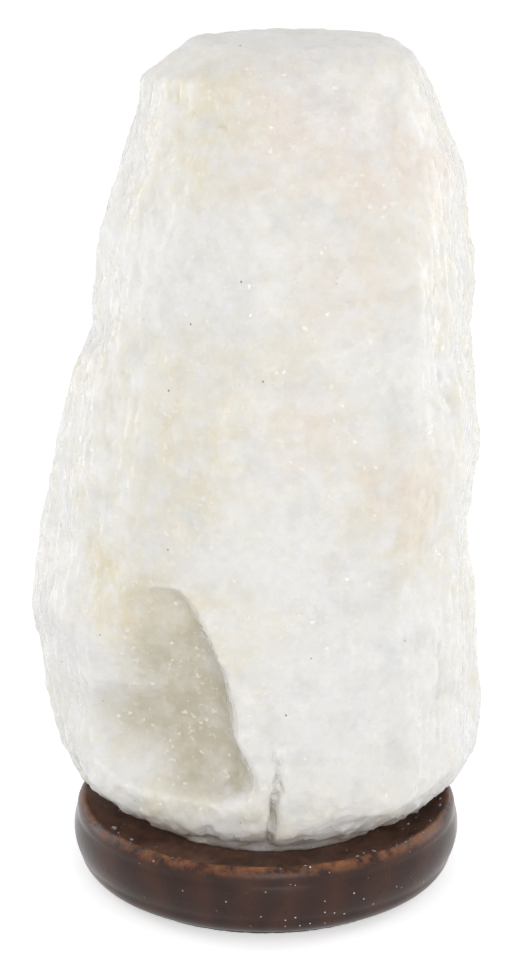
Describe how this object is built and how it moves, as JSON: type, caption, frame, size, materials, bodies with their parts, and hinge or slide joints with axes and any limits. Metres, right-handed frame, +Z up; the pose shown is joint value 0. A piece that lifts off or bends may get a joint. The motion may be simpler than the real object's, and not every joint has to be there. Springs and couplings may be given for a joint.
{
  "type": "salt crystal lamp",
  "caption": "Table lamp of a hewn white rock salt crystal on a dished, dark turned wooden base, with a clip-in screw lampholder and bulb inside.",
  "frame": {"origin": "where the axis of the turned base meets the table, at the underside of the felt ring", "axes": "+Z up along the axis of the base and of the bulb cavity; -Y towards the front of the crystal, with the hollow and the cleft; the cord groove runs out towards +Y"},
  "size_m": [0.1455, 0.125, 0.2693],
  "materials": {
    "rock_salt": "matte",
    "dark_wood": "satin",
    "grey_felt": "matte",
    "zinc_steel": "satin",
    "nylon_plug": "matte",
    "black_phenolic": "satin",
    "white_steatite": "matte",
    "brass": "satin",
    "spring_steel": "satin",
    "clear_glass": "gloss",
    "stem_glass": "gloss",
    "black_glass": "gloss",
    "solder": "satin",
    "nickel_wire": "satin",
    "tungsten": "satin"
  },
  "bodies": {
    "lamp": {"salt_crystal": "rock_salt", "wooden_base": "dark_wood", "felt_pad": "grey_felt", "base_screws": "zinc_steel", "screw_plugs": "nylon_plug"},
    "lampholder": {"holder_cap": "black_phenolic", "holder_shell": "black_phenolic", "contact_insert": "white_steatite", "screw_contact": "brass", "centre_contact": "brass", "terminal_screws": "brass", "spring_clip": "spring_steel", "clip_ring": "black_phenolic"},
    "bulb": {"bulb_glass": "clear_glass", "bulb_cap": "brass", "bulb_insulator": "black_glass", "bulb_tip": "solder", "bulb_stem": "stem_glass", "bulb_leads": "nickel_wire", "bulb_filament": "tungsten", "filament_supports": "nickel_wire"}
  },
  "joints": [
    {"name": "lampholder_pull", "type": "slide", "parent": "lamp", "child": "lampholder", "axis": [0, 0, -1], "range_m": [0, 0.098]},
    {"name": "bulb_unscrew", "type": "hinge", "parent": "lampholder", "child": "bulb", "pos_m": [0, 0, 0.052], "axis": [0, 0, 1], "range_deg": [0, 1260]}
  ]
}
